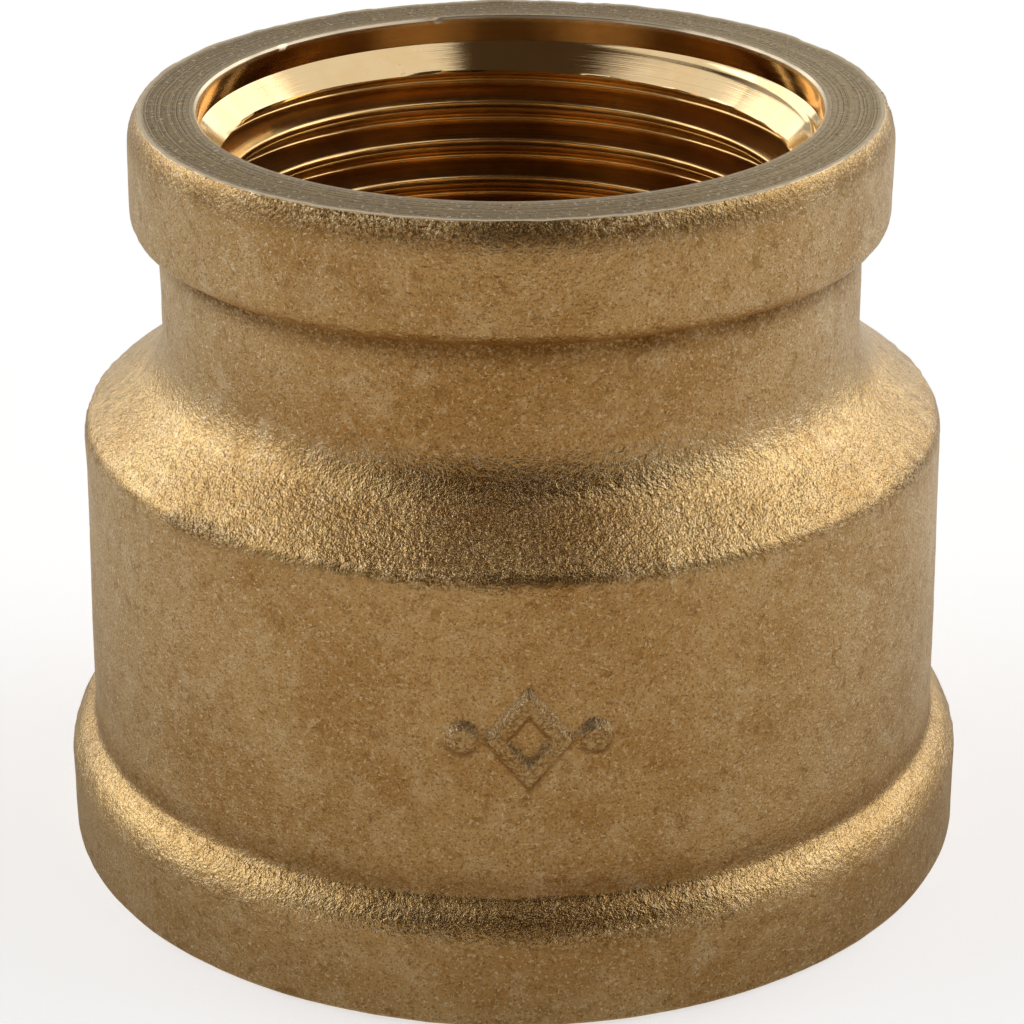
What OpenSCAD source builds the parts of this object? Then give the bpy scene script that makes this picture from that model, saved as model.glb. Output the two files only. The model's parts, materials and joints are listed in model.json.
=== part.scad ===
// Reducing coupling: one brass casting that joins a larger threaded pipe to a smaller one.
// It stands on its large end. The origin is the centre of that face, and +Z leaves by the small end.
// Both ends have parallel internal pipe threads of the British Standard Pipe family.

/* [Pipe threads] */
// Major diameter of the thread in the small, upper end
small_major_d = 33.249; // [26.441:G 3/4, 33.249:G 1]
// Major diameter of the thread in the large, lower end
large_major_d = 41.91; // [41.91:G 1 1/4, 47.803:G 1 1/2]
// Depth of the small bore, from its face to the inner ledge
small_depth = 16; // [14:0.5:17]
// Depth of the large bore, from its face to the inner ledge
large_depth = 20.5; // [18:0.5:21]

/* [Casting] */
// Height over both machined faces
total_h = 42; // [42:0.5:48]
// Metal left between the small thread and the outside of the neck
neck_wall = 2.5; // [2:0.05:3.2]
// Metal left between the large thread and the outside of the body
body_wall = 2.75; // [2.4:0.05:3.6]
// How far the upper collar stands out from the neck
top_lip = 1.45; // [1.2:0.05:2]
// How far the lower collar stands out from the body
foot_lip = 1.7; // [1.4:0.05:2.2]
// Height of the upper collar
top_collar_h = 6.5; // [5:0.1:7]
// Height of the straight part of the lower collar
foot_collar_h = 4.5; // [3:0.1:6]
// Length of the neck below the upper collar
neck_h = 5.5; // [4:0.1:6]
// Slope of the shoulder below the horizontal
shoulder_slope = 37; // [30:1:40]

/* [Raised mark] */
// Height that the plain raised mark stands off the body
mark_relief = 0.35; // [0.2:0.05:0.6]
// Width of the mark
mark_w = 8.6; // [6:0.2:10]
// Height of the mark's middle above the large end's face
mark_z = 16; // [14:0.5:18]

/* [Hidden] */
// Thread form: a 55 degree V with rounded roots, its crests cut flat by the tap drill
inch = 25.4;
flank_angle = 27.5;
thread_depth_share = 0.640327;
root_round_share = 0.137329;
function pitch_of(major_d) = inch / (major_d < 30 ? 14 : 11);
function minor_r_of(major_d) = major_d / 2 - thread_depth_share * pitch_of(major_d);

small_minor_r = minor_r_of(small_major_d);
large_minor_r = minor_r_of(large_major_d);

// Mouths: a short plain recess, then a 45 degree lead-in down to the thread
mouth_clear = 0.18;
mouth_h = 1.5;
// Plain bore left past the last thread, where the tap runs out
runout_h = 1.15;

// Waterway between the two bores
throat_ledge = 0.8;
throat_h = 1.2;
cavity_step = 0.9;
throat_r = small_minor_r - throat_ledge;
cavity_r = large_minor_r - cavity_step;

// Outline of the casting
neck_r = small_major_d / 2 + neck_wall;
collar_r = neck_r + top_lip;
body_r = large_major_d / 2 + body_wall;
foot_r = body_r + foot_lip;
// The upper collar is cast round, and facing its end leaves only the outer part of that round
collar_round = 2.6;
collar_round_left = 39;
collar_fillet = 0.25;
collar_under_round = top_lip - collar_fillet;
neck_fillet = 3.8;
shoulder_round = 1.2;
body_draft = 0.19;
foot_turn = 59;
foot_fillet = 0.6;
foot_round = (foot_lip - body_draft) / (1 - cos(foot_turn)) - foot_fillet;
bottom_edge_round = 0.5;

collar_z = total_h - top_collar_h;
neck_z = collar_z - neck_h;

// Where the shoulder's cone leaves the neck's fillet, and the centre of the round at its foot
cone_r = neck_r + neck_fillet * (1 - sin(shoulder_slope));
cone_z = neck_z - neck_fillet * cos(shoulder_slope);
shoulder_r = body_r - shoulder_round;
shoulder_z = cone_z - (shoulder_round + (shoulder_r - cone_r) * sin(shoulder_slope))
             / cos(shoulder_slope);

// Plain mark: an open lozenge between two round pellets
lozenge_w = mark_w * 0.54;
lozenge_h = mark_w * 0.66;
lozenge_opening = 0.52;
pellet_r = mark_w * 0.11;

// Overlap that keeps cuts and joints clear of each other's faces
eps = 0.5;
arc_steps = 10;
$fa = 3;
$fs = 0.4;

// Points of an arc in the outline's plane, from one angle to another
function arc(centre, r, from, to) =
    [for (i = [0:arc_steps])
        let (a = from + (to - from) * i / arc_steps)
        centre + r * [cos(a), sin(a)]];

// Outside of the casting, solid to the axis
module casting() {
    rotate_extrude()
        polygon(concat(
            [[0, 0], [0, total_h]],
            arc([collar_r - collar_round, total_h - collar_round * sin(collar_round_left)],
                collar_round, collar_round_left, 0),
            arc([collar_r - collar_under_round, collar_z + collar_under_round],
                collar_under_round, 0, -90),
            arc([neck_r + collar_fillet, collar_z - collar_fillet], collar_fillet, 90, 180),
            arc([neck_r + neck_fillet, neck_z], neck_fillet, 180, 270 - shoulder_slope),
            arc([shoulder_r, shoulder_z], shoulder_round, 90 - shoulder_slope, 0),
            foot_outline(),
            arc([foot_r - bottom_edge_round, bottom_edge_round], bottom_edge_round, 0, -90)
        ));
}

// The lower collar's swelling: a small fillet off the body, then a long round down to the collar's side
function foot_outline() =
    let (toward_fillet = [cos(foot_turn), sin(foot_turn)],
         round_centre = [foot_r - foot_round, foot_collar_h],
         fillet_centre = round_centre + (foot_round + foot_fillet) * toward_fillet)
    concat(
        arc(fillet_centre, foot_fillet, 180, 180 + foot_turn),
        arc(round_centre, foot_round, foot_turn, 0)
    );

// One end's bore, with its mouth at z = 0 and the hole running up: recess, lead-in, then plain bore
module tapped_bore(major_d, depth) {
    mouth_r = major_d / 2 + mouth_clear;
    minor_r = minor_r_of(major_d);
    lead_h = mouth_r - minor_r;
    translate([0, 0, -eps])
        cylinder(h = mouth_h + eps, r = mouth_r);
    translate([0, 0, mouth_h])
        cylinder(h = lead_h, r1 = mouth_r, r2 = minor_r);
    cylinder(h = depth, r = minor_r);
    thread_roots(major_d, mouth_h + lead_h, depth - runout_h);
}

// Thread roots between two depths, as rings a pitch apart, which leave true flat crests at the minor radius
module thread_roots(major_d, from, to) {
    pitch = pitch_of(major_d);
    turns = floor((to - from) / pitch);
    for (i = [0:turns - 1])
        translate([0, 0, from + (i + 0.5) * pitch])
            thread_root(major_d);
}

// One root: the V between two flanks, closed by a round that touches both
module thread_root(major_d) {
    pitch = pitch_of(major_d);
    root_round = root_round_share * pitch;
    round_r = major_d / 2 - root_round;
    touch_r = round_r + root_round * sin(flank_angle);
    touch_z = root_round * cos(flank_angle);
    inner_r = minor_r_of(major_d) - eps;
    inner_z = touch_z + (touch_r - inner_r) * tan(flank_angle);
    rotate_extrude()
        union() {
            translate([round_r, 0])
                circle(r = root_round, $fn = 48);
            polygon([[inner_r, -inner_z], [touch_r, -touch_z], [touch_r, touch_z], [inner_r, inner_z]]);
        }
}

// The cast waterway: a short throat above a cone that opens into the large bore
module waterway() {
    cone_top = total_h - small_depth - throat_h;
    translate([0, 0, large_depth])
        cylinder(h = cone_top - large_depth, r1 = cavity_r, r2 = throat_r);
    translate([0, 0, large_depth - eps])
        cylinder(h = eps, r = cavity_r);
    translate([0, 0, cone_top])
        cylinder(h = throat_h + eps, r = throat_r);
}

// A lozenge outline between two pellets, drawn in plan
module mark_outline() {
    difference() {
        lozenge(lozenge_w, lozenge_h);
        lozenge(lozenge_w * lozenge_opening, lozenge_h * lozenge_opening);
    }
    for (side = [-1, 1])
        translate([side * (mark_w / 2 - pellet_r), 0])
            circle(r = pellet_r, $fn = 36);
}

module lozenge(w, h) {
    polygon([[-w / 2, 0], [0, -h / 2], [w / 2, 0], [0, h / 2]]);
}

// The mark stands off the front of the body by the same relief everywhere
module raised_mark() {
    intersection() {
        translate([0, -body_r / 2, mark_z])
            rotate([90, 0, 0])
                linear_extrude(height = body_r)
                    mark_outline();
        cylinder(h = total_h, r = body_r + mark_relief);
    }
}

module coupling_body() {
    color([0.72, 0.56, 0.3])
        difference() {
            union() {
                casting();
                raised_mark();
            }
            tapped_bore(large_major_d, large_depth);
            translate([0, 0, total_h])
                mirror([0, 0, 1])
                    tapped_bore(small_major_d, small_depth);
            waterway();
        }
}

coupling_body();
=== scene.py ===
"""Studio picture of a brass reducing coupling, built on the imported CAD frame.

The CAD node is one exact solid with ring-shaped thread roots. Here one finished piece stands for it: the
same outline, with true right-hand helical threads, the cast skin's lumps and dents, torn edges where the
skin meets the turned faces, and the plain raised mark. Shapes are worked out in millimetres and scaled to
metres once, in make_object.
"""
import json
import math

import bpy
import numpy as np
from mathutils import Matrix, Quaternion, Vector


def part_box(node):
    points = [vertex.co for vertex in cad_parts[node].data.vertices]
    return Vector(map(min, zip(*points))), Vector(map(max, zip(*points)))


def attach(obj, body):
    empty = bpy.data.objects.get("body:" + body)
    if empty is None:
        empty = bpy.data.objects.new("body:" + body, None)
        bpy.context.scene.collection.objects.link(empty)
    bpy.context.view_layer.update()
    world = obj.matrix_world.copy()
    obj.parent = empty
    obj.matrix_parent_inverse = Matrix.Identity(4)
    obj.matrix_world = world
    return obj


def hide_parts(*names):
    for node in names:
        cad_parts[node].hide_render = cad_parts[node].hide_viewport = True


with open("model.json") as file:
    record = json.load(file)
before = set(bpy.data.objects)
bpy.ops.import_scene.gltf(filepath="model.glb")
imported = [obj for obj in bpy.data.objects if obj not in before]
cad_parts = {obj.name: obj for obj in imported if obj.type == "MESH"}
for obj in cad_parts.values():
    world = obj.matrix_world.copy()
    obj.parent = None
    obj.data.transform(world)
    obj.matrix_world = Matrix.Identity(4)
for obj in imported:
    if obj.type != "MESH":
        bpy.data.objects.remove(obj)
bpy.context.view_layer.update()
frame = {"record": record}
MM = 0.001

# ---------------------------------------------------------------- sizes, in millimetres
mounts = {m["name"]: m for m in frame["record"]["mounts"]}
node_low, node_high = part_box("coupling_body")
TOTAL_H = (node_high[2] - node_low[2]) / MM
FOOT_R = (node_high[0] - node_low[0]) / 2 / MM

# Thread form: a 55 degree V with rounded roots and cut crests, eleven to the inch
PITCH = 25.4 / 11
FLANK = math.radians(27.5)
THREAD_DEPTH = 0.640327 * PITCH
ROOT_ROUND = 0.137329 * PITCH
CREST_ROUND = 0.13
# The thread's first turns are only a fine line in the lead-in, this deep and this wide
START_LINE = 0.07
START_LINE_W = 0.12

# Outline of the casting
NECK_WALL = 2.5
TOP_LIP = 1.45
FOOT_LIP = 1.7
TOP_COLLAR_H = 6.5
FOOT_COLLAR_H = 4.5
NECK_H = 5.5
SHOULDER_SLOPE = 37
COLLAR_ROUND = 2.6
COLLAR_ROUND_LEFT = 39
COLLAR_FILLET = 0.25
NECK_FILLET = 3.8
SHOULDER_ROUND = 1.2
BODY_DRAFT = 0.19
FOOT_TURN = 59
FOOT_FILLET = 0.6
BOTTOM_EDGE_ROUND = 0.5
# Height of the shoulder's rounded lower edge, which is battered all round
SHOULDER_EDGE_Z = 24.6

# Waterway between the bores
THROAT_LEDGE = 0.8
THROAT_H = 1.2
CAVITY_STEP = 0.9
RUNOUT_H = 1.15

# Plain raised mark: an open lozenge between two pellets
MARK_RELIEF = 0.35
MARK_W = 8.6
MARK_Z = 16
LOZENGE_HALF_W, LOZENGE_HALF_H = MARK_W * 0.27, MARK_W * 0.33
LOZENGE_OPENING = 0.52
PELLET_R = MARK_W * 0.11
# Share of the lozenge's size that its sides slope over
MARK_SLOPE = 0.2
MARK_EDGE = 0.14
# How far the raised parts are rubbed, and how dark the painted shade on their upper edges is
MARK_RUB, MARK_EDGE_SHADE = 0.42, 0.6

# Burrs and broken edges left by the cutting tools, as distances in from an edge
BURR_TOP, BURR_INNER, BURR_END = 0.04, 0.2, 0.36
UPPER_MOUTH_BREAK_W, UPPER_MOUTH_BREAK_H = 0.13, 0.12
LOWER_MOUTH_BREAK_W, LOWER_MOUTH_BREAK_H = 0.09, 0.07
FOOT_EDGE_BREAK = 0.2
RECESS_DEPTHS = (0.4, 0.8, 1.2)

# Mesh density: columns round the axis, and the longest step along the outline
COLUMNS = 720
SKIN_STEP = 0.25
MARK_STEP = 0.13
WATERWAY_STEP = 0.35
FRONT_CROWDING = 0.42
# Edges that turn by more degrees than this stay sharp
SHARP_ANGLE = 38
SEED = 20


class Bore:
    """One threaded end, as the record's mounts state it. Depths run inwards from its own end face."""

    def __init__(self, end, mouth, face_z, inward):
        wall, recess = mounts[end]["dims"], mounts[mouth]["dims"]
        self.minor_r = wall["r_mm"]
        self.major_r = self.minor_r + THREAD_DEPTH
        self.mouth_r = recess["r_mm"]
        self.mouth_h = recess["length_mm"]
        self.lead_end = self.mouth_h + self.mouth_r - self.minor_r
        self.depth = self.lead_end + wall["length_mm"]
        self.face_z, self.inward = face_z, inward

    def z(self, depth):
        return self.face_z + self.inward * depth


small = Bore("small_end", "small_mouth", TOTAL_H, -1)
large = Bore("large_end", "large_mouth", 0.0, 1)

NECK_R = small.major_r + NECK_WALL
COLLAR_R = NECK_R + TOP_LIP
BODY_R = FOOT_R - FOOT_LIP


# ---------------------------------------------------------------- noise
class Noise:
    """Smooth repeatable noise on a lattice of random values, from -1 to 1."""

    def __init__(self, seed, size=64):
        self.size = size
        self.values = np.random.RandomState(seed).uniform(-1, 1, (size, size, size))

    def __call__(self, points, feature):
        p = np.asarray(points, float) / feature
        cell = np.floor(p).astype(int)
        f = p - cell
        f = f * f * (3 - 2 * f)
        total = 0.0
        for corner in np.ndindex(2, 2, 2):
            weight = np.prod(np.where(np.array(corner) == 1, f, 1 - f), axis=-1)
            index = tuple(((cell + corner) % self.size)[..., k] for k in range(3))
            total = total + weight * self.values[index]
        return total


noise_a, noise_b, noise_c = (Noise(SEED + k) for k in range(3))


def smoothstep(low, high, x):
    t = np.clip((x - low) / (high - low), 0, 1)
    return t * t * (3 - 2 * t)


# ---------------------------------------------------------------- outline
def arc(centre_r, centre_z, radius, start, end, steps=10):
    a = np.radians(np.linspace(start, end, steps + 1))
    return [(centre_r + radius * math.cos(t), centre_z + radius * math.sin(t)) for t in a]


def outer_outline():
    """The outside from the lower face's edge up to the upper face's edge."""
    collar_z = TOTAL_H - TOP_COLLAR_H
    neck_z = collar_z - NECK_H
    slope = math.radians(SHOULDER_SLOPE)
    cone_r = NECK_R + NECK_FILLET * (1 - math.sin(slope))
    cone_z = neck_z - NECK_FILLET * math.cos(slope)
    shoulder_r = BODY_R - SHOULDER_ROUND
    shoulder_z = cone_z - (SHOULDER_ROUND + (shoulder_r - cone_r) * math.sin(slope)) / math.cos(slope)
    turn = math.radians(FOOT_TURN)
    foot_round = (FOOT_LIP - BODY_DRAFT) / (1 - math.cos(turn)) - FOOT_FILLET
    swell_r = FOOT_R - foot_round
    fillet_r = swell_r + (foot_round + FOOT_FILLET) * math.cos(turn)
    fillet_z = FOOT_COLLAR_H + (foot_round + FOOT_FILLET) * math.sin(turn)
    under = TOP_LIP - COLLAR_FILLET
    edge_r = COLLAR_R - COLLAR_ROUND
    edge_z = TOTAL_H - COLLAR_ROUND * math.sin(math.radians(COLLAR_ROUND_LEFT))
    return (
        arc(FOOT_R - BOTTOM_EDGE_ROUND, BOTTOM_EDGE_ROUND, BOTTOM_EDGE_ROUND, -90, 0, 5)
        + arc(swell_r, FOOT_COLLAR_H, foot_round, 0, FOOT_TURN)
        + arc(fillet_r, fillet_z, FOOT_FILLET, 180 + FOOT_TURN, 180, 5)
        + arc(shoulder_r, shoulder_z, SHOULDER_ROUND, 0, 90 - SHOULDER_SLOPE, 6)
        + arc(NECK_R + NECK_FILLET, neck_z, NECK_FILLET, 270 - SHOULDER_SLOPE, 180, 14)
        + arc(NECK_R + COLLAR_FILLET, collar_z - COLLAR_FILLET, COLLAR_FILLET, 180, 90, 5)
        + arc(COLLAR_R - under, collar_z + under, under, -90, 0, 8)
        + arc(edge_r, edge_z, COLLAR_ROUND, 0, COLLAR_ROUND_LEFT, 8)
    )


def finely(points, step, fine_zone=(0, 0)):
    """The same line with points no further apart than step, or MARK_STEP at heights within fine_zone."""
    out = [np.array(points[0], float)]
    for q in np.array(points[1:], float):
        start = out[-1]
        cuts = [start]
        if abs(q[1] - start[1]) > 1:
            shares = sorted((z - start[1]) / (q[1] - start[1]) for z in fine_zone)
            cuts += [start + (q - start) * t for t in shares if 0 < t < 1]
        cuts.append(q)
        for a, b in zip(cuts[:-1], cuts[1:]):
            gap = float(np.linalg.norm(b - a))
            if gap < 1e-4:
                continue
            fine = fine_zone[0] < (a[1] + b[1]) / 2 < fine_zone[1] and gap > 1
            parts = max(1, math.ceil(gap / (MARK_STEP if fine else step)))
            out += [a + (b - a) * k / parts for k in range(1, parts + 1)]
    return np.array(out)


def line_normals(points):
    """Unit normals of a line in the outline's plane, to its right as it runs."""
    along = np.gradient(points, axis=0)
    along /= np.linalg.norm(along, axis=1)[:, None]
    return np.stack([along[:, 1], -along[:, 0]], axis=1)


# ---------------------------------------------------------------- mesh under construction
# Columns stand closer together at the front, where the mark is
EVEN = np.arange(COLUMNS) * 2 * math.pi / COLUMNS
ANGLES = EVEN - FRONT_CROWDING * (np.sin(EVEN + math.pi / 2) - 1)
COS, SIN = np.cos(ANGLES), np.sin(ANGLES)
ZONES = ("skin", "face", "cut", "cast")

# Each point also carries its wear and edge glint, its film, and its grime and painted shade, from 0 to 1,
# which the materials read
vertices, faces, face_zones = [], [], []
marks = {"wear": [], "film": [], "grime": []}


def add_points(xyz, **values):
    """Adds points, with any of their wear and edge glint, film, and grime and painted shade, and returns
    their numbers.
    """
    first = sum(len(v) for v in vertices)
    vertices.append(np.asarray(xyz, float))
    for name, blocks in marks.items():
        blocks.append(np.broadcast_to(values.get(name, 0.0), len(xyz)).astype(float))
    return np.arange(first, first + len(xyz))


def round_axis(r, z):
    """Points round the axis, one for each column; r and z are numbers or one value for each column."""
    r, z = np.broadcast_to(r, COLUMNS), np.broadcast_to(z, COLUMNS)
    return np.stack([r * COS, r * SIN, z], axis=1)


def ring(r, z, **values):
    return add_points(round_axis(r, z), **values)


def add_faces(new_faces, zone):
    faces.extend(new_faces)
    face_zones.extend([ZONES.index(zone)] * len(new_faces))


def join(lower, upper, zone):
    """Faces between two rings, facing away from the axis where upper is above lower on the outside."""
    a, b = np.roll(lower, -1), np.roll(upper, -1)
    add_faces(np.stack([lower, a, b, upper], axis=1).tolist(), zone)


def join_all(rings, zone):
    for lower, upper in zip(rings[:-1], rings[1:]):
        join(lower, upper, zone)


# ---------------------------------------------------------------- cast skin
def mark_height(x, z):
    """Share of the mark's relief at arc length x from the front and height z from the mark's middle."""
    lozenge = np.abs(x) / LOZENGE_HALF_W + np.abs(z) / LOZENGE_HALF_H
    inside = 1 - smoothstep(1 - MARK_SLOPE * 0.6, 1 + MARK_SLOPE * 0.4, lozenge)
    hollow = 1 - smoothstep(LOZENGE_OPENING - MARK_SLOPE * 0.8, LOZENGE_OPENING + MARK_SLOPE * 0.2, lozenge)
    from_pellet = np.hypot(np.abs(x) - (MARK_W / 2 - PELLET_R), z) / PELLET_R
    pellets = 1 - smoothstep(0.6, 1.15, from_pellet)
    return np.maximum(inside - hollow, pellets)


def dents(points, feature, share, noise):
    """Sparse round hollows: the tops of a noise that only reach over its threshold here and there."""
    return smoothstep(1 - share, 1, noise(points, feature))


def skin_shift(points, edge, calm):
    """How far the cast skin stands off its outline.

    edge is 1 where the skin has been battered. calm is the share of the waves that is left out.
    """
    shift = 0.07 * noise_a(points, 11) + 0.035 * noise_b(points, 4.1)
    shift += 0.020 * noise_c(points, 1.7) + 0.012 * noise_a(points, 0.74)
    shift -= 0.09 * dents(points, 1.15, 0.42, noise_b) * (0.35 + 0.65 * dents(points, 6, 0.9, noise_c))
    patchy = smoothstep(-0.35, 0.5, noise_c(points, 5.2))
    shift *= 1 - calm
    shift += edge * (0.3 + 0.7 * patchy) * (0.075 * noise_a(points, 0.62) + 0.05 * noise_b(points, 0.36))
    return shift


def distances(outline):
    """How far along the outline each of its points is."""
    return np.concatenate([[0], np.cumsum(np.linalg.norm(np.diff(outline, axis=0), axis=1))])


def run_at(outline, r, z):
    """How far along the outline its point nearest (r, z) is."""
    return distances(outline)[np.argmin(np.hypot(outline[:, 0] - r, outline[:, 1] - z))]


def strongest(lines, run):
    """The strongest of some soft lines, each a place along the outline, a width and a strength."""
    return max([share * math.exp(-((run - at) / width) ** 2) for at, width, share in lines] or [0.0])


def cast_rings(outline, edge_lines=(), grime_and_shade_lines=(), outside=False):
    """Rings along a cast outline, moved along its normals by the cast skin's waves.

    They are battered at the edge lines, and darkened with grime and painted shade at the grime and shade
    lines. Only the outside has the raised mark, and it is calmer beside the machined lower face.
    """
    rings = []
    for (r, z), (nr, nz), run in zip(outline, line_normals(outline), distances(outline)):
        base = round_axis(r, z)
        edge = strongest(edge_lines, run)
        calm = 0.6 * math.exp(-run / 0.8) if outside and run < 4 else 0.0
        shift = skin_shift(base, edge, calm)
        torn = smoothstep(-0.1, 0.55, noise_c(base, 5.2)) * edge
        dirt_and_shade = strongest(grime_and_shade_lines, run) * (0.75 + 0.35 * noise_b(base, 3.0))
        if outside:
            x, up = r * np.arctan2(COS, -SIN), z - MARK_Z
            raised = mark_height(x, up)
            # Painted shade darkens the mark's upper edges, where its height falls away going up
            falling = mark_height(x, up - MARK_EDGE) - mark_height(x, up + MARK_EDGE)
            shift = shift + MARK_RELIEF * raised
            torn = np.maximum(torn, MARK_RUB * smoothstep(0.6, 1, raised))
            dirt_and_shade = np.maximum(dirt_and_shade, MARK_EDGE_SHADE * np.clip(falling, 0, 1))
        dull = 1 - smoothstep(0.1, 0.6, nz)
        rings.append(ring(r + nr * shift, z + nz * shift, wear=torn, film=dull, grime=dirt_and_shade))
    return rings


# ---------------------------------------------------------------- threads
# Rows of the helix that come nearer than this to an end ring are left out
END_GAP = 0.04
# The wall's small waves are read from the noise at this radius
WAVE_R = 15


def thread_r(bore, from_root):
    """Wall radius at an axial distance from the nearest root's middle. The crest's corners are broken."""
    u = np.abs(from_root)
    touch = ROOT_ROUND * math.cos(FLANK)
    centre_r = bore.major_r - ROOT_ROUND
    rounded = centre_r + np.sqrt(np.maximum(ROOT_ROUND ** 2 - np.minimum(u, touch) ** 2, 0))
    flank = centre_r + ROOT_ROUND * math.sin(FLANK) - (u - touch) / math.tan(FLANK)
    deep = np.where(u <= touch, rounded, flank) - bore.minor_r
    return bore.minor_r + (deep + np.sqrt(deep ** 2 + CREST_ROUND ** 2)) / 2


def thread_phases():
    """Places across one pitch, from root to root, closest together where the section bends most."""
    touch = ROOT_ROUND * math.cos(FLANK)
    crest_edge = touch + (THREAD_DEPTH - ROOT_ROUND + ROOT_ROUND * math.sin(FLANK)) * math.tan(FLANK)
    half = [0, 0.4 * touch, 0.75 * touch, touch]
    half += [touch + (crest_edge - touch) * s for s in (0.35, 0.65, 0.85)]
    half += [crest_edge - 0.05, crest_edge, crest_edge + 0.05, crest_edge + 0.11]
    return np.array(half + [PITCH / 2] + [PITCH - u for u in half[:0:-1]])


def thread_column(bore, j, rows, depth):
    """Adds one column's points down the threaded wall, and returns each row's point number."""
    from_root = (rows[:, 1] + PITCH / 2) % PITCH - PITCH / 2
    run_out = smoothstep(thread_bottom(bore), thread_bottom(bore) - 0.9 * PITCH, depth)
    run_in = smoothstep(bore.mouth_h + 0.3, bore.lead_end + 0.4, depth)
    wall = bore.minor_r + (thread_r(bore, from_root) - bore.minor_r) * run_out * run_in
    noise_place = np.stack([WAVE_R * COS[j] + 0 * depth, WAVE_R * SIN[j] + 0 * depth, depth], axis=1)
    wall = wall + 0.012 * noise_a(noise_place, 0.7)
    start_line = np.exp(-((from_root / START_LINE_W) ** 2)) * smoothstep(0.05, 0.4, depth - bore.mouth_h)
    lead_in = bore.mouth_r - (depth - bore.mouth_h) + START_LINE * start_line
    r = np.maximum(wall, lead_in)
    in_thread = smoothstep(0.02, 0.5, wall - lead_in)
    ids = add_points(np.stack([r * COS[j], r * SIN[j], bore.z(depth)], axis=1), film=in_thread)
    return dict(zip(rows[:, 0].astype(int).tolist(), ids.tolist()))


def thread_bottom(bore):
    return bore.depth - RUNOUT_H * 0.35


def threaded_wall(bore, start_angle):
    """The wall from the lead-in's outer edge to the plain run-out, on rows that follow the helix.

    Returns the rings at its two ends, mouth first. Each column holds the rows that lie between the ends, so
    the rows run unbroken from turn to turn and only the first and last rows are cut off by the end rings.
    """
    phases = thread_phases()
    per_turn = len(phases)
    top, bottom = bore.mouth_h, thread_bottom(bore)
    # In its own depth a right-hand thread runs the other way round in the end that faces down
    hand = 1 if bore.inward > 0 else -1
    lead = PITCH * hand * (ANGLES + start_angle) / (2 * math.pi)
    mouth_ring = ring(bore.mouth_r, bore.z(top))
    columns = []
    for j in range(COLUMNS):
        turns = range(math.floor((top - lead[j]) / PITCH) - 1, math.ceil((bottom - lead[j]) / PITCH) + 2)
        rows = np.array([(t * per_turn + k, t * PITCH + phases[k]) for t in turns for k in range(per_turn)])
        depth = rows[:, 1] + lead[j]
        keep = (depth > top + END_GAP) & (depth < bottom - END_GAP)
        columns.append(thread_column(bore, j, rows[keep], depth[keep]))
    end_ring = ring(bore.minor_r, bore.z(bottom))
    wall = []
    for j in range(COLUMNS):
        after = (j + 1) % COLUMNS
        left, right = columns[j], columns[after]
        if after == 0:
            # Past the seam the same row of the helix has a number one turn on
            right = {row - hand * per_turn: point for row, point in right.items()}
        shared = sorted(set(left) & set(right))
        first, last = shared[0], shared[-1]
        wall += [[left[m], left[n], right[n], right[m]] for m, n in zip(shared[:-1], shared[1:])]
        above_left, above_right = ([side[m] for m in sorted(side) if m < first] for side in (left, right))
        wall.append([mouth_ring[j]] + above_left + [left[first], right[first]]
                    + above_right[::-1] + [mouth_ring[after]])
        below_left, below_right = ([side[m] for m in sorted(side) if m > last] for side in (left, right))
        wall.append([left[last]] + below_left + [end_ring[j], end_ring[after]]
                    + below_right[::-1] + [right[last]])
    if bore.inward > 0:
        wall = [f[::-1] for f in wall]
    add_faces([[int(v) for v in f] for f in wall], "cut")
    return mouth_ring, end_ring


# ---------------------------------------------------------------- the whole body
def cast_skin():
    """The outside, from the lower face's edge up to the upper face's edge. Returns its rings."""
    outline = finely(outer_outline(), SKIN_STEP, (MARK_Z - MARK_W * 0.4, MARK_Z + MARK_W * 0.4))
    collar_z = TOTAL_H - TOP_COLLAR_H
    top_edge = run_at(outline, COLLAR_R, TOTAL_H)
    # Each line is a place along the outline, a width and a strength
    edges = [
        (run_at(outline, BODY_R, SHOULDER_EDGE_Z), 0.45, 1.0),
        (top_edge, 0.8, 1.0),
        (run_at(outline, COLLAR_R, collar_z + 0.8), 0.35, 0.3),
        (run_at(outline, FOOT_R, FOOT_COLLAR_H + 0.6), 0.5, 0.5),
    ]
    # Darker bands: painted shade under the collar and at the shoulder's lower edge, and darker bands above
    # the foot and just below the upper face's edge
    grime_and_shade_lines = [
        (run_at(outline, NECK_R + COLLAR_FILLET, collar_z) - 0.5, 0.8, 1.15),
        (run_at(outline, BODY_R, SHOULDER_EDGE_Z + 0.1), 0.25, 0.7),
        (run_at(outline, BODY_R, FOOT_COLLAR_H + 2.5) + 0.3, 0.9, 0.6),
        (top_edge - 0.5, 0.7, 0.8),
    ]
    skin = cast_rings(outline, edges, grime_and_shade_lines, outside=True)
    join_all(skin, "skin")
    return skin


def flatten(block, z):
    """Moves an edge ring's points to the height of a machined face, and returns their radii."""
    block[:, 2] = z
    return np.hypot(block[:, 0], block[:, 1])


def upper_face(skin_edge, edge_r):
    """The small end's face, from the skin's torn edge inwards over a thin burr. Returns its inner ring."""
    rim = round_axis(COLLAR_R, 0)
    burr = 0.035 + 0.03 * noise_a(rim, 0.5) + 0.05 * smoothstep(0.1, 0.6, noise_b(rim, 2.4))
    # The burr rings carry full wear, which the face's material paints pale as a bright edge highlight
    face = [
        skin_edge,
        ring(edge_r - BURR_TOP, TOTAL_H + burr, wear=1.0),
        ring(edge_r - BURR_INNER, TOTAL_H + burr * 0.7, wear=1.0),
        ring(edge_r - BURR_END, TOTAL_H, wear=0.3),
    ]
    inner_r = small.mouth_r + UPPER_MOUTH_BREAK_W
    for share in (0.1, 0.3, 0.5, 0.75):
        face.append(ring((edge_r - BURR_END) * (1 - share) + inner_r * share, TOTAL_H))
    face.append(ring(inner_r, TOTAL_H, wear=0.6))
    join_all(face, "face")
    return face[-1]


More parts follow.
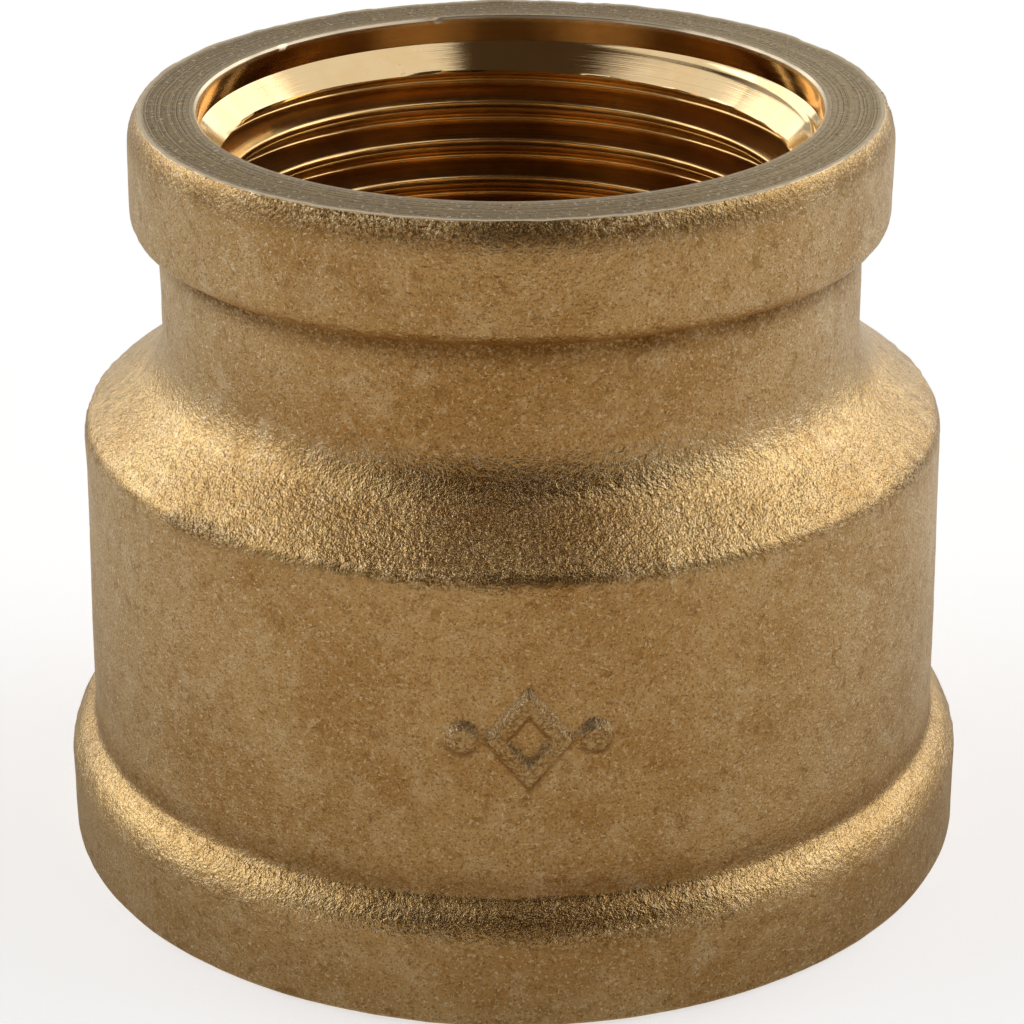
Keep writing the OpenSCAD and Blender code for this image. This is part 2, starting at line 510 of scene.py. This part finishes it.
def small_bore(face_ring):
    """The small end's recess, thread and plain run-out. Returns its last ring."""
    edge = round_axis(small.mouth_r, 0)
    nick = 0.015 * noise_b(edge, 1.6) - 0.10 * dents(edge, 0.7, 0.3, noise_a)
    recess = [face_ring, ring(small.mouth_r, TOTAL_H - UPPER_MOUTH_BREAK_H + nick, wear=1.0)]
    recess += [ring(small.mouth_r, small.z(depth)) for depth in RECESS_DEPTHS]
    mouth_ring, end_ring = threaded_wall(small, start_angle=0.8)
    join_all(recess + [mouth_ring], "cut")
    plain = [end_ring, ring(small.minor_r, small.z(small.depth))]
    join_all(plain, "cut")
    return plain[-1]


def waterway(bore_end):
    """The small bore's ledge, the throat, the cone and the large bore's ledge. Returns its last ring."""
    throat_r = small.minor_r - THROAT_LEDGE
    cavity_r = large.minor_r - CAVITY_STEP
    ledge_z, throat_z = small.z(small.depth), small.z(small.depth) - THROAT_H
    lower_ledge_z = large.z(large.depth)
    cast = cast_rings(finely([
        (small.minor_r - 0.1, ledge_z),
        (throat_r + 0.25, ledge_z),
        (throat_r + 0.06, ledge_z - 0.08),
        (throat_r, ledge_z - 0.3),
        (throat_r, throat_z + 0.25),
        (throat_r + 0.2, throat_z - 0.15),
        (cavity_r - 0.2, lower_ledge_z + 0.15),
        (cavity_r + 0.1, lower_ledge_z),
        (large.minor_r - 0.1, lower_ledge_z),
    ], WATERWAY_STEP))
    join_all([bore_end] + cast, "cast")
    return cast[-1]


def large_bore(waterway_end):
    """The large end's thread and recess. Returns the ring at its mouth."""
    mouth_ring, end_ring = threaded_wall(large, start_angle=0.4)
    join_all([waterway_end, ring(large.minor_r, large.z(large.depth) - 0.05), end_ring], "cut")
    recess = [mouth_ring] + [ring(large.mouth_r, large.z(depth)) for depth in RECESS_DEPTHS[::-1]]
    recess.append(ring(large.mouth_r, LOWER_MOUTH_BREAK_H, wear=0.5))
    join_all(recess, "cut")
    return recess[-1]


def lower_face(mouth_ring, skin_edge, edge_r):
    """The large end's face, from the mouth out to the skin's first ring."""
    inner_r, outer_r = large.mouth_r + LOWER_MOUTH_BREAK_W, edge_r - FOOT_EDGE_BREAK
    face = [mouth_ring, ring(inner_r, 0.0, wear=0.6)]
    face += [ring(inner_r * (1 - share) + outer_r * share, 0.0) for share in (0.25, 0.5, 0.75)]
    face += [ring(outer_r, 0.0, wear=0.5), skin_edge]
    join_all(face, "face")


def build_body():
    """One closed surface: up the outside, in over the upper face, down the bores and out to the start."""
    skin = cast_skin()
    top_edge_r, foot_edge_r = flatten(vertices[-1], TOTAL_H), flatten(vertices[0], 0.0)
    face_ring = upper_face(skin[-1], top_edge_r)
    mouth_ring = large_bore(waterway(small_bore(face_ring)))
    lower_face(mouth_ring, skin[0], foot_edge_r)


def make_object(name):
    mesh = bpy.data.meshes.new(name)
    points = np.concatenate(vertices) * MM
    mesh.from_pydata(points.tolist(), [], faces)
    mesh.polygons.foreach_set("material_index", np.array(face_zones, np.int32))
    mesh.polygons.foreach_set("use_smooth", np.ones(len(faces), bool))
    for label, blocks in marks.items():
        layer = mesh.attributes.new(label, "FLOAT", "POINT")
        layer.data.foreach_set("value", np.concatenate(blocks).astype(np.float32))
    mesh.update()
    mesh.validate()
    mesh.set_sharp_from_angle(angle=math.radians(SHARP_ANGLE))
    obj = bpy.data.objects.new(name, mesh)
    bpy.context.scene.collection.objects.link(obj)
    return obj


build_body()


# ---------------------------------------------------------------- materials
class Nodes:
    """Short names for building one material's node tree."""

    def __init__(self, name):
        self.material = bpy.data.materials.new(name)
        self.material.use_nodes = True
        self.tree = self.material.node_tree
        self.shader = self.tree.nodes["Principled BSDF"]
        self.shader.inputs["Metallic"].default_value = 1.0
        self.place = self.add("ShaderNodeTexCoord").outputs["Object"]

    def add(self, kind, **settings):
        node = self.tree.nodes.new(kind)
        for key, value in settings.items():
            setattr(node, key, value)
        return node

    def link(self, source, target):
        self.tree.links.new(source, target)

    def value(self, target, source):
        if isinstance(source, (int, float)):
            target.default_value = source
        else:
            self.link(source, target)

    def math(self, operation, a, b=0.0):
        node = self.add("ShaderNodeMath", operation=operation)
        self.value(node.inputs[0], a)
        self.value(node.inputs[1], b)
        return node.outputs[0]

    def plus(self, a, b):
        return self.math("ADD", a, b)

    def times(self, a, b):
        return self.math("MULTIPLY", a, b)

    def noise(self, feature_mm, detail=2.0, roughness=0.5, distortion=0.0):
        """Noise whose features are about this many millimetres across."""
        node = self.add("ShaderNodeTexNoise")
        node.inputs["Scale"].default_value = 1 / (feature_mm * MM)
        node.inputs["Detail"].default_value = detail
        node.inputs["Roughness"].default_value = roughness
        node.inputs["Distortion"].default_value = distortion
        self.link(self.place, node.inputs["Vector"])
        return node.outputs["Fac"]

    def ramp(self, source, low, high, low_value=0.0, high_value=1.0):
        node = self.add("ShaderNodeMapRange", interpolation_type="SMOOTHSTEP")
        self.link(source, node.inputs["Value"])
        numbers = {"From Min": low, "From Max": high, "To Min": low_value, "To Max": high_value}
        for key, number in numbers.items():
            node.inputs[key].default_value = number
        return node.outputs["Result"]

    def mix(self, share, a, b):
        node = self.add("ShaderNodeMix", data_type="RGBA")
        self.value(node.inputs["Factor"], share)
        for target, source in ((node.inputs["A"], a), (node.inputs["B"], b)):
            if isinstance(source, tuple):
                target.default_value = (*source, 1)
            else:
                self.link(source, target)
        return node.outputs["Result"]

    def attribute(self, name):
        return self.add("ShaderNodeAttribute", attribute_name=name).outputs["Fac"]

    def bump(self, height, depth_mm, strength=1.0, under=None):
        node = self.add("ShaderNodeBump")
        node.inputs["Strength"].default_value = strength
        node.inputs["Distance"].default_value = depth_mm * MM
        self.link(height, node.inputs["Height"])
        if under is not None:
            self.link(under, node.inputs["Normal"])
        return node.outputs["Normal"]

    def rings(self, across, lines_per_mm, detail=3.0):
        """Noise along one length only, such as the lines a tool leaves round the axis."""
        node = self.add("ShaderNodeTexNoise", noise_dimensions="1D")
        node.inputs["Scale"].default_value = lines_per_mm / MM
        node.inputs["Detail"].default_value = detail
        self.link(across, node.inputs["W"])
        return node.outputs["Fac"]

    def xyz(self):
        node = self.add("ShaderNodeSeparateXYZ")
        self.link(self.place, node.inputs[0])
        return node.outputs["X"], node.outputs["Y"], node.outputs["Z"]

    def radius(self, x, y):
        return self.math("SQRT", self.plus(self.times(x, x), self.times(y, y)))

    def finish(self, colour, roughness, normal):
        self.link(colour, self.shader.inputs["Base Color"])
        self.link(roughness, self.shader.inputs["Roughness"])
        self.link(normal, self.shader.inputs["Normal"])
        return self.material


# The cast skin: its own colours, then what lies on it
CLEAN = (0.83, 0.575, 0.255)
FILM = (0.74, 0.54, 0.29)
BROWN = (0.52, 0.31, 0.11)
PALE = (0.88, 0.73, 0.50)
HOLLOW = (0.35, 0.19, 0.055)
# Painted glints on the skin, and pale specks and worn edges on the cut faces, the edges partly painted
# highlight
BRIGHT_METAL_AND_GLINT = (0.97, 0.86, 0.66)
CHIPPED = (0.94, 0.77, 0.48)
SOOT = (0.19, 0.105, 0.032)
# Grime, and painted shade in the dark bands
GRIME_AND_SHADE = (0.20, 0.105, 0.030)
# The turned faces
DULL = (0.42, 0.29, 0.13)
DULL_LIGHT = (0.62, 0.45, 0.22)
DULL_DARK = (0.17, 0.105, 0.045)
# Scraped metal in the fine lines, and the painted sheen on the face's right
SCRAPED_AND_SHEEN = (0.80, 0.61, 0.34)
# The cut bores
BRIGHT = (0.92, 0.70, 0.395)
CUT = (0.87, 0.60, 0.29)
THREAD = (0.96, 0.66, 0.29)
STAINED = (0.62, 0.34, 0.12)
# The waterway
CAST_LIGHT = (0.50, 0.33, 0.14)
CAST_DARK = (0.34, 0.21, 0.085)


def skin_material():
    """Blasted as-cast brass: fine grain with painted glints, duller on upright walls, paler and browner in
    clouds, grime and painted shade in bands.
    """
    n = Nodes("brass_cast_skin")
    film, torn, dirt_and_shade = n.attribute("film"), n.attribute("wear"), n.attribute("grime")
    clouds = n.noise(8.0, 4.0, 0.6)
    blotch = n.noise(2.4, 6.0, 0.72, 0.3)
    mottle = n.noise(0.75, 3.0, 0.6, 0.5)
    grain = n.noise(0.13, 2.0, 0.6, 0.3)
    coarse = n.noise(0.36, 3.0, 0.6, 0.4)
    flecks = n.noise(0.19, 2.0, 0.6, 0.6)
    glint_dashes = n.noise(0.18, 2.0, 0.65, 0.8)
    # The pale film is thickest on the upright walls
    paling = n.plus(0.35, n.times(film, 0.65))
    colour = n.mix(film, CLEAN, FILM)
    colour = n.mix(n.ramp(clouds, 0.38, 0.64, 0.0, 0.60), colour, BROWN)
    colour = n.mix(n.times(paling, n.ramp(blotch, 0.49, 0.70, 0.0, 0.65)), colour, PALE)
    colour = n.mix(n.ramp(mottle, 0.46, 0.30, 0.0, 0.50), colour, HOLLOW)
    colour = n.mix(n.times(paling, n.ramp(mottle, 0.54, 0.72, 0.0, 0.55)), colour, PALE)
    colour = n.mix(n.ramp(grain, 0.50, 0.30, 0.0, 0.75), colour, HOLLOW)
    # Painted glints: pale dashes in the colour, strongest on the upright walls
    colour = n.mix(n.times(paling, n.ramp(glint_dashes, 0.56, 0.68, 0.0, 0.9)), colour, BRIGHT_METAL_AND_GLINT)
    colour = n.mix(n.times(torn, n.ramp(flecks, 0.49, 0.40)), colour, SOOT)
    colour = n.mix(n.times(torn, n.ramp(flecks, 0.50, 0.60)), colour, CHIPPED)
    # Grime and painted shade: dark under the collar, at the shoulder's lower edge and on the mark's upper
    # edges, and darker above the foot and below the top edge
    colour = n.mix(n.times(dirt_and_shade, n.ramp(flecks, 0.64, 0.44, 0.45, 1.0)), colour, GRIME_AND_SHADE)
    rough = n.plus(n.times(film, 0.15), n.ramp(grain, 0.35, 0.65, 0.24, 0.14))
    rough = n.plus(rough, n.times(dirt_and_shade, 0.12))
    height = n.plus(n.times(grain, 0.42), n.times(coarse, 0.85))
    height = n.times(height, n.plus(1.0, n.times(torn, 1.2)))
    height = n.plus(height, n.times(n.times(torn, flecks), 0.8))
    return n.finish(colour, rough, n.bump(height, 0.115))


def face_material():
    """A turned end face gone dull: fine concentric lines, stains and specks, with a painted sheen that makes
    it brighter on its right.
    """
    n = Nodes("brass_turned_face")
    x, y, _ = n.xyz()
    # The tool's lines wander a little, so they come and go round the face
    line_place = n.plus(n.radius(x, y), n.times(n.noise(6.0, 2.0, 0.5), 0.3 * MM))
    lines = n.rings(line_place, 7.0, 4.0)
    fine = n.rings(line_place, 13.0, 3.0)
    broad = n.rings(line_place, 2.2, 2.0)
    stains = n.noise(1.6, 5.0, 0.65, 0.6)
    specks = n.noise(0.25, 2.0, 0.6, 0.6)
    worn_and_glint = n.attribute("wear")
    colour = n.mix(n.ramp(stains, 0.42, 0.62, 0.0, 0.7), DULL, DULL_LIGHT)
    # Painted sheen: the face is painted paler towards its right
    colour = n.mix(n.ramp(x, 4 * MM, 16 * MM, 0.0, 0.85), colour, SCRAPED_AND_SHEEN)
    colour = n.mix(n.ramp(broad, 0.45, 0.65, 0.0, 0.25), colour, DULL_DARK)
    colour = n.mix(n.ramp(fine, 0.51, 0.62, 0.0, 0.85), colour, SCRAPED_AND_SHEEN)
    colour = n.mix(n.ramp(fine, 0.48, 0.37, 0.0, 0.75), colour, DULL_DARK)
    colour = n.mix(n.ramp(specks, 0.59, 0.67, 0.0, 0.9), colour, BRIGHT_METAL_AND_GLINT)
    colour = n.mix(n.ramp(specks, 0.39, 0.33, 0.0, 0.8), colour, DULL_DARK)
    # Worn edges and the burr: paler metal, painted pale as a bright edge highlight
    colour = n.mix(worn_and_glint, colour, BRIGHT_METAL_AND_GLINT)
    rough = n.plus(n.ramp(stains, 0.35, 0.7, 0.28, 0.42), n.times(worn_and_glint, 0.4))
    return n.finish(colour, rough, n.bump(specks, 0.04, 0.7, n.bump(lines, 0.035)))


def cut_material():
    """Cut brass in the recess, the lead-in and the thread: bright, with fine tool lines round the axis."""
    n = Nodes("brass_cut_thread")
    x, y, z = n.xyz()
    across = n.plus(n.radius(x, y), n.times(z, 0.7))
    lines = n.rings(across, 7.0, 3.0)
    fine = n.rings(across, 26.0, 2.0)
    tarnish = n.noise(1.8, 3.0, 0.5)
    specks = n.noise(0.3, 3.0, 0.6, 1.0)
    stains = n.ramp(n.noise(2.6, 3.0, 0.6, 0.8), 0.42, 0.56, 0.0, 0.25)
    in_thread, worn_and_glint = n.attribute("film"), n.attribute("wear")
    colour = n.mix(n.ramp(tarnish, 0.4, 0.7, 0.0, 0.5), BRIGHT, CUT)
    colour = n.mix(in_thread, colour, THREAD)
    colour = n.mix(n.ramp(fine, 0.52, 0.72, 0.0, 0.35), colour, CUT)
    colour = n.mix(n.ramp(specks, 0.66, 0.74, 0.0, 0.5), colour, BROWN)
    colour = n.mix(n.times(in_thread, stains), colour, STAINED)
    # Worn mouth edges: paler metal, painted pale as a bright edge highlight
    colour = n.mix(worn_and_glint, colour, BRIGHT_METAL_AND_GLINT)
    rough = n.plus(n.ramp(lines, 0.3, 0.7, 0.05, 0.11), n.times(in_thread, 0.12))
    rough = n.plus(rough, n.times(worn_and_glint, 0.3))
    return n.finish(colour, rough, n.bump(fine, 0.0016, 0.7, n.bump(lines, 0.004, 0.7)))


def cast_material():
    """The rough waterway between the bores, left as it was cast."""
    n = Nodes("brass_cast_waterway")
    blotch = n.noise(1.4, 4.0, 0.6, 0.3)
    colour = n.mix(n.ramp(blotch, 0.4, 0.7), CAST_LIGHT, CAST_DARK)
    return n.finish(colour, n.ramp(blotch, 0.35, 0.7, 0.5, 0.68), n.bump(n.noise(0.3, 3.0, 0.6), 0.07))


body = make_object("coupling_brass_body")
for material in (skin_material(), face_material(), cut_material(), cast_material()):
    body.data.materials.append(material)
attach(body, "root")
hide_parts("coupling_body")


# ---------------------------------------------------------------- studio
FLOOR_SIZE = 3.0
# How the camera sees the floor
FLOOR_GREY, FLOOR_LIFT = (0.86, 0.86, 0.86), (0.97, 0.98, 1.0)
FLOOR_LIFT_STRENGTH = 0.60
# How the metal sees it, as a glow: left and right, in front, dark inside the standing coupling as painted
# shade, and bright under its lower face as painted light
FLOOR_LEFT = (0.54, 0.505, 0.44)
FLOOR_RIGHT = (0.66, 0.625, 0.57)
FLOOR_IN_FRONT = (0.505, 0.38, 0.232)
FLOOR_UNDER = (0.018, 0.014, 0.010)
FLOOR_UNDER_FOOT = (1.1, 1.05, 0.98)
# Its glow is weaker beside the foot, out to this far from it
FLOOR_BY_FOOT, FOOT_SHADE_W = 0.55, 30 * MM
SOFTBOX_AWAY = 0.8
SOFTBOX_TINT = (1.0, 0.99, 0.98)
# The surroundings are dim round these elevations on the camera's side: fully within the first angle, and
# not at all past the second
SIDE_GLOW = (0.42, 0.41, 0.39)
DIM_GLOW = (0.050, 0.032, 0.018)
DIM_PATCHES = ((74, 52, 70), (18, 16, 30))


def blend(tree, source, start, end, first, second):
    """A colour that goes smoothly from first to second as source goes from start to end."""
    share = tree.nodes.new("ShaderNodeMapRange")
    share.interpolation_type = "SMOOTHSTEP"
    share.inputs["From Min"].default_value, share.inputs["From Max"].default_value = start, end
    tree.links.new(source, share.inputs["Value"])
    mix = tree.nodes.new("ShaderNodeMix")
    mix.data_type = "RGBA"
    tree.links.new(share.outputs["Result"], mix.inputs["Factor"])
    for target, colour in ((mix.inputs["A"], first), (mix.inputs["B"], second)):
        if isinstance(colour, tuple):
            target.default_value = (*colour, 1)
        else:
            tree.links.new(colour, target)
    return mix.outputs["Result"]


def metal_view(n):
    """What the metal sees of the floor: a glow, warmer in front, as of a studio table, with painted shade
    inside the coupling and beside the foot and painted light under the lower face.
    """
    x, y, _ = n.xyz()
    across = blend(n.tree, x, -50 * MM, 50 * MM, FLOOR_LEFT, FLOOR_RIGHT)
    ahead = blend(n.tree, y, 50 * MM, -60 * MM, across, FLOOR_IN_FRONT)
    away = n.add("ShaderNodeVectorMath", operation="LENGTH")
    n.link(n.place, away.inputs[0])
    away = away.outputs["Value"]
    foot, mouth = FOOT_R * MM, large.mouth_r * MM
    under_foot = blend(n.tree, away, mouth, mouth + 0.2 * MM, FLOOR_UNDER, FLOOR_UNDER_FOOT)
    glow = n.add("ShaderNodeEmission")
    n.link(blend(n.tree, away, foot - 0.4 * MM, foot, under_foot, ahead), glow.inputs["Color"])
    near = n.add("ShaderNodeMapRange")
    near.inputs["From Min"].default_value, near.inputs["From Max"].default_value = foot, foot + FOOT_SHADE_W
    near.inputs["To Min"].default_value = FLOOR_BY_FOOT
    n.link(away, near.inputs["Value"])
    n.link(near.outputs["Result"], glow.inputs["Strength"])
    return glow.outputs[0]


def floor_material():
    """Pale and lit for the camera, another glow for the metal, and clear from below."""
    n = Nodes("floor_pale")
    settings = {"Metallic": 0.0, "Roughness": 0.9, "Specular IOR Level": 0.1,
                "Emission Strength": FLOOR_LIFT_STRENGTH,
                "Base Color": (*FLOOR_GREY, 1), "Emission Color": (*FLOOR_LIFT, 1)}
    for name, setting in settings.items():
        n.shader.inputs[name].default_value = setting

    def pick(share, first, second):
        node = n.add("ShaderNodeMixShader")
        for target, source in zip(node.inputs, (share, first, second)):
            n.link(source, target)
        return node.outputs[0]

    by_camera = n.add("ShaderNodeLightPath").outputs["Is Camera Ray"]
    from_below = n.add("ShaderNodeNewGeometry").outputs["Backfacing"]
    clear = n.add("ShaderNodeBsdfTransparent").outputs[0]
    above = pick(by_camera, metal_view(n), n.shader.outputs[0])
    n.link(pick(from_below, above, clear), n.tree.nodes["Material Output"].inputs["Surface"])
    return n.material


def add_floor():
    """A pale floor. It shows its upper side only, so that the underside can be looked at."""
    mesh = bpy.data.meshes.new("floor")
    h = FLOOR_SIZE / 2
    mesh.from_pydata([(-h, -h, 0), (h, -h, 0), (h, h, 0), (-h, h, 0)], [], [(0, 1, 2, 3)])
    mesh.materials.append(floor_material())
    floor = bpy.data.objects.new("floor", mesh)
    bpy.context.scene.collection.objects.link(floor)


def add_softbox(name, side, top_tilt, bottom_tilt, front, back, toe_in, brightness):
    """A rectangular light beside and above the object. side is -1 for the left and 1 for the right.

    Its upper and lower edges lie at these angles from the zenith, and its ends at these shares of its
    distance in front of the object and behind it. Toe-in turns its front end towards the middle.
    """
    tilt = math.radians((top_tilt + bottom_tilt) / 2)
    span = 2 * SOFTBOX_AWAY * math.tan(math.radians((bottom_tilt - top_tilt) / 2))
    length = (front + back) * SOFTBOX_AWAY
    light = bpy.data.lights.new(name, "AREA")
    light.shape = "RECTANGLE"
    light.size, light.size_y = span, length
    # Radiance is power over pi times area
    light.energy = brightness * math.pi * span * length
    light.color = SOFTBOX_TINT
    lamp = bpy.data.objects.new(name, light)
    turn = Quaternion((0, 0, 1), -side * math.radians(toe_in)) @ Quaternion((0, 1, 0), side * tilt)
    middle = Vector((0, (back - front) / 2 + math.sin(math.radians(toe_in)) * math.sin(tilt), 1))
    lamp.location = target + turn @ (middle * SOFTBOX_AWAY)
    lamp.rotation_mode = "QUATERNION"
    lamp.rotation_quaternion = turn
    bpy.context.scene.collection.objects.link(lamp)


def add_world():
    """Soft surroundings: pale at the sides and behind, and dim above the camera's side, up to the zenith."""
    world = bpy.data.worlds.new("studio")
    world.use_nodes = True
    tree = world.node_tree
    toward = tree.nodes.new("ShaderNodeTexCoord")
    colour = SIDE_GLOW
    for elevation, inner, outer in DIM_PATCHES:
        aim = tree.nodes.new("ShaderNodeVectorMath")
        aim.operation = "DOT_PRODUCT"
        e = math.radians(elevation)
        aim.inputs[1].default_value = (0, -math.cos(e), math.sin(e))
        tree.links.new(toward.outputs["Generated"], aim.inputs[0])
        start, end = (math.cos(math.radians(angle)) for angle in (outer, inner))
        colour = blend(tree, aim.outputs["Value"], start, end, colour, DIM_GLOW)
    tree.links.new(colour, tree.nodes["Background"].inputs["Color"])
    bpy.context.scene.world = world


# The camera looks at a point one collar radius below the upper face
target = Vector((0, 0, (TOTAL_H - COLLAR_R) * MM))
CAMERA_AZIMUTH, CAMERA_ELEVATION = -1.9, 23.2
CAMERA_DISTANCE = 8.743 * COLLAR_R * MM
CAMERA_ROLL = 0.27
LENS, SHIFT_Y = 112.7, -0.058


def add_camera():
    data = bpy.data.cameras.new("camera")
    data.lens, data.sensor_width = LENS, 36
    data.shift_y = SHIFT_Y
    data.clip_start, data.clip_end = 0.01, 10
    camera = bpy.data.objects.new("camera", data)
    a, e = math.radians(CAMERA_AZIMUTH), math.radians(CAMERA_ELEVATION)
    away = Vector((math.sin(a) * math.cos(e), -math.cos(a) * math.cos(e), math.sin(e)))
    camera.location = target + away * CAMERA_DISTANCE
    camera.rotation_mode = "QUATERNION"
    roll = Quaternion((0, 0, 1), math.radians(-CAMERA_ROLL))
    camera.rotation_quaternion = away.to_track_quat("Z", "Y") @ roll
    bpy.context.scene.collection.objects.link(camera)
    bpy.context.scene.camera = camera


add_floor()
add_softbox("softbox_left_upper", -1, 24.2, 46, 0.43, 0.81, 30, 0.80)
add_softbox("softbox_left_lower", -1, 46, 78, 0.24, 2.0, 0, 1.2)
add_softbox("softbox_right_upper", 1, 17.4, 46, 0.41, 0.82, 32, 0.77)
add_softbox("softbox_right_lower", 1, 46, 78, 0.27, 2.0, 0, 1.2)
add_world()
add_camera()
bpy.context.scene.view_settings.view_transform = "Standard"
